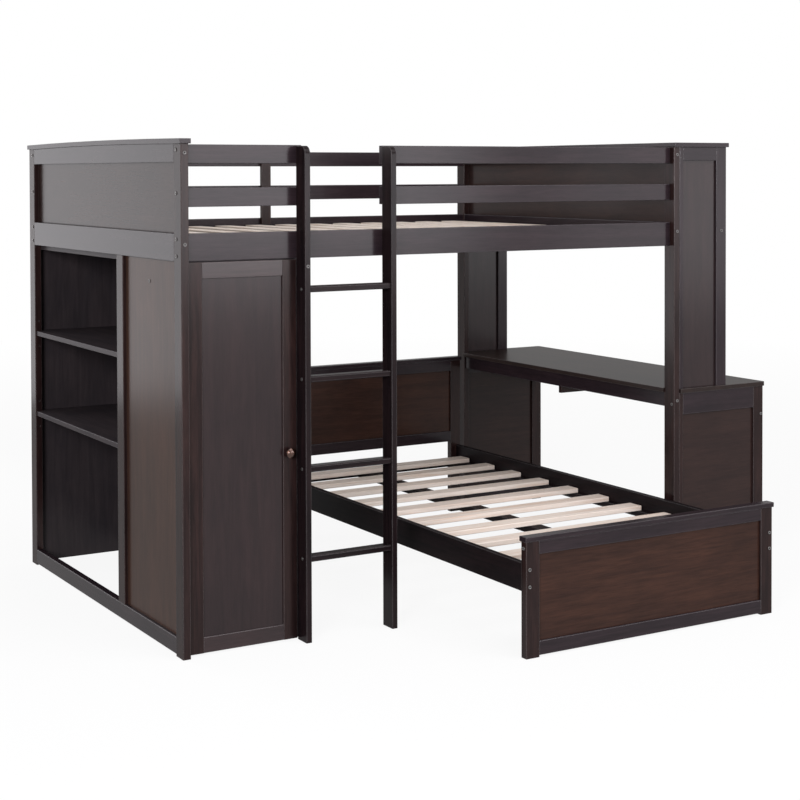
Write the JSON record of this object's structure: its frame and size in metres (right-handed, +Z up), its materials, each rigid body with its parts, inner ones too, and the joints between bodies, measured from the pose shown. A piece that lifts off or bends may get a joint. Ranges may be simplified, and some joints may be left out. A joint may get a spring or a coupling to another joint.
{
  "type": "loft bed",
  "caption": "Loft bed of framed wood panels with ladder, wardrobe, open bookcase, desk and a loose lower twin bed at right angles under it",
  "frame": {"origin": "on the floor, under the middle of the whole bed's bounding box", "axes": "+X along the loft bed from the wardrobe end to the desk end, +Y from the front, where the ladder stands and the lower bed pulls out, to the back, +Z up"},
  "size_m": [2.431, 2.047, 1.631],
  "materials": {
    "dark_wood": "dark espresso stain under a smooth semi-gloss lacquer, faint long grain",
    "pine": "unfinished pale pine slats, planed",
    "bolt_steel": "zinc-plated bolt heads",
    "hinge_steel": "satin plated steel",
    "socket_metal": "pressed metal, satin",
    "knob_bronze": "oil-rubbed dark bronze, satin",
    "catch_plastic": "moulded brown plastic"
  },
  "bodies": {
    "loft": {"back_guard_batten": "dark_wood", "back_guard_rails": "dark_wood", "back_side_rail": "dark_wood", "bookcase_shelves": "dark_wood", "case_back_panel": "dark_wood", "case_partition": "dark_wood", "case_right_panel": "dark_wood", "case_top": "dark_wood", "desk_centre_support": "dark_wood", "desk_long_rails": "dark_wood", "desk_side_panels": "dark_wood", "desk_side_rails": "dark_wood", "desk_side_stiles": "dark_wood", "desk_top": "dark_wood", "door_catch": "catch_plastic", "front_guard_rails": "dark_wood", "front_side_rail": "dark_wood", "hanging_rod": "hinge_steel", "hanging_rod_sockets": "socket_metal", "hutch_floor": "dark_wood", "hutch_side_panels": "dark_wood", "hutch_side_rails": "dark_wood", "hutch_side_stiles": "dark_wood", "hutch_top": "dark_wood", "ladder_boards": "dark_wood", "ladder_rungs": "dark_wood", "left_back_post": "dark_wood", "left_end_cap": "dark_wood", "left_end_divider_stile": "dark_wood", "left_end_panel": "dark_wood", "left_end_rails": "dark_wood", "left_front_post": "dark_wood", "loft_bolt_heads": "bolt_steel", "loft_centre_beam": "dark_wood", "loft_slat_cleats": "dark_wood", "loft_slats": "pine", "post_hinge_leaves": "hinge_steel", "right_back_post": "dark_wood", "right_end_panel": "dark_wood", "right_end_rails": "dark_wood", "right_front_post": "dark_wood", "shelf_pegs": "hinge_steel", "wardrobe_floor": "dark_wood", "wardrobe_left_panel": "dark_wood"},
    "wardrobe_door": {"door_hinge_leaves": "hinge_steel", "door_knob": "knob_bronze", "door_panel": "dark_wood", "door_rails": "dark_wood", "door_stiles": "dark_wood"},
    "twin_bed": {"twin_bolt_heads": "bolt_steel", "twin_caps": "dark_wood", "twin_centre_beam": "dark_wood", "twin_cross_members": "dark_wood", "twin_end_panels": "dark_wood", "twin_end_rails": "dark_wood", "twin_footboard_posts": "dark_wood", "twin_headboard_posts": "dark_wood", "twin_side_rails": "dark_wood", "twin_slat_cleats": "dark_wood", "twin_slats": "pine"}
  },
  "joints": [
    {"name": "wardrobe_door_hinge", "type": "hinge", "parent": "loft", "child": "wardrobe_door", "pos_m": [-1.1806, -0.4584, 0.622], "axis": [0, 0, -1], "range_deg": [0, 100]},
    {"name": "twin_bed_pull_out", "type": "slide", "parent": "loft", "child": "twin_bed", "axis": [0, -1, 0], "range_m": [0, 1.5]}
  ]
}
